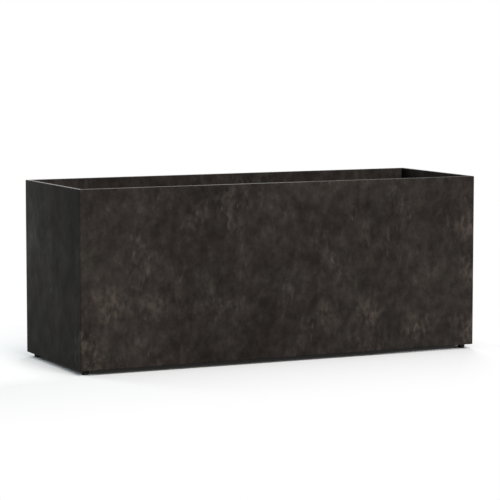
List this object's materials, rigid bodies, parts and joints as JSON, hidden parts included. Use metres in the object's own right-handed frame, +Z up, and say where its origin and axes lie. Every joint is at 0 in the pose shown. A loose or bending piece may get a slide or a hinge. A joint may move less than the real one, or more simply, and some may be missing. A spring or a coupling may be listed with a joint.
{
  "type": "floor planter",
  "caption": "Rectangular floor planter of folded, patinated sheet steel with a flat returned rim, drained floor tray, cross tie and levelling feet.",
  "frame": {"origin": "on the floor under the middle of the planter", "axes": "+X along the length, to the right seen from the front; the front faces -Y; +Z up"},
  "size_m": [1.118, 0.381, 0.4595],
  "materials": {
    "patina": "mottled charcoal-brown patina with fine upright streaks, under a satin lacquer",
    "base_coat": "matt dark grey base coat",
    "zinc_plate": "zinc plated",
    "black_zinc": "black zinc plated",
    "black_nylon": "moulded, matt",
    "black_rubber": "moulded, matt"
  },
  "bodies": {
    "planter": {"front_panel": "patina", "back_panel": "patina", "left_end_panel": "patina", "right_end_panel": "patina", "floor_bearer_left": "base_coat", "floor_bearer_middle": "base_coat", "floor_bearer_right": "base_coat", "floor_pan": "base_coat", "front_stiffener": "base_coat", "back_stiffener": "base_coat", "tie_bar": "base_coat", "tie_bolts": "zinc_plate", "tie_nuts": "zinc_plate", "bearer_rivets": "zinc_plate", "floor_rivets": "zinc_plate", "corner_angle_front_left": "base_coat", "foot_plate_front_left": "base_coat", "foot_nut_front_left": "zinc_plate", "corner_angle_front_right": "base_coat", "foot_plate_front_right": "base_coat", "foot_nut_front_right": "zinc_plate", "corner_angle_back_right": "base_coat", "foot_plate_back_right": "base_coat", "foot_nut_back_right": "zinc_plate", "corner_angle_back_left": "base_coat", "foot_plate_back_left": "base_coat", "foot_nut_back_left": "zinc_plate"},
    "foot_pad_front_left": {"foot_pad_front_left": "black_nylon"},
    "foot_screw_front_left": {"foot_screw_front_left": "black_zinc"},
    "foot_pad_front_right": {"foot_pad_front_right": "black_nylon"},
    "foot_screw_front_right": {"foot_screw_front_right": "black_zinc"},
    "foot_pad_back_right": {"foot_pad_back_right": "black_nylon"},
    "foot_screw_back_right": {"foot_screw_back_right": "black_zinc"},
    "foot_pad_back_left": {"foot_pad_back_left": "black_nylon"},
    "foot_screw_back_left": {"foot_screw_back_left": "black_zinc"},
    "drain_plug_left": {"drain_plug_left": "black_rubber"},
    "drain_plug_right": {"drain_plug_right": "black_rubber"}
  },
  "joints": [
    {"name": "foot_drop_front_left", "type": "slide", "parent": "planter", "child": "foot_pad_front_left", "axis": [0, 0, -1], "range_m": [0, 0.015]},
    {"name": "foot_turn_front_left", "type": "hinge", "parent": "foot_pad_front_left", "child": "foot_screw_front_left", "pos_m": [-0.538, -0.1655, 0], "axis": [0, 0, -1], "range_deg": [0, 4320]},
    {"name": "foot_drop_front_right", "type": "slide", "parent": "planter", "child": "foot_pad_front_right", "axis": [0, 0, -1], "range_m": [0, 0.015]},
    {"name": "foot_turn_front_right", "type": "hinge", "parent": "foot_pad_front_right", "child": "foot_screw_front_right", "pos_m": [0.538, -0.1655, 0], "axis": [0, 0, -1], "range_deg": [0, 4320]},
    {"name": "foot_drop_back_right", "type": "slide", "parent": "planter", "child": "foot_pad_back_right", "axis": [0, 0, -1], "range_m": [0, 0.015]},
    {"name": "foot_turn_back_right", "type": "hinge", "parent": "foot_pad_back_right", "child": "foot_screw_back_right", "pos_m": [0.538, 0.1655, 0], "axis": [0, 0, -1], "range_deg": [0, 4320]},
    {"name": "foot_drop_back_left", "type": "slide", "parent": "planter", "child": "foot_pad_back_left", "axis": [0, 0, -1], "range_m": [0, 0.015]},
    {"name": "foot_turn_back_left", "type": "hinge", "parent": "foot_pad_back_left", "child": "foot_screw_back_left", "pos_m": [-0.538, 0.1655, 0], "axis": [0, 0, -1], "range_deg": [0, 4320]},
    {"name": "drain_plug_lift_left", "type": "slide", "parent": "planter", "child": "drain_plug_left", "axis": [0, 0, 1], "range_m": [0, 0.45]},
    {"name": "drain_plug_lift_right", "type": "slide", "parent": "planter", "child": "drain_plug_right", "axis": [0, 0, 1], "range_m": [0, 0.45]}
  ],
  "couplings": [
    {"joint": "foot_drop_front_left", "follows": "foot_turn_front_left", "m_per_rad": 0.00019894},
    {"joint": "foot_drop_front_right", "follows": "foot_turn_front_right", "m_per_rad": 0.00019894},
    {"joint": "foot_drop_back_right", "follows": "foot_turn_back_right", "m_per_rad": 0.00019894},
    {"joint": "foot_drop_back_left", "follows": "foot_turn_back_left", "m_per_rad": 0.00019894}
  ]
}
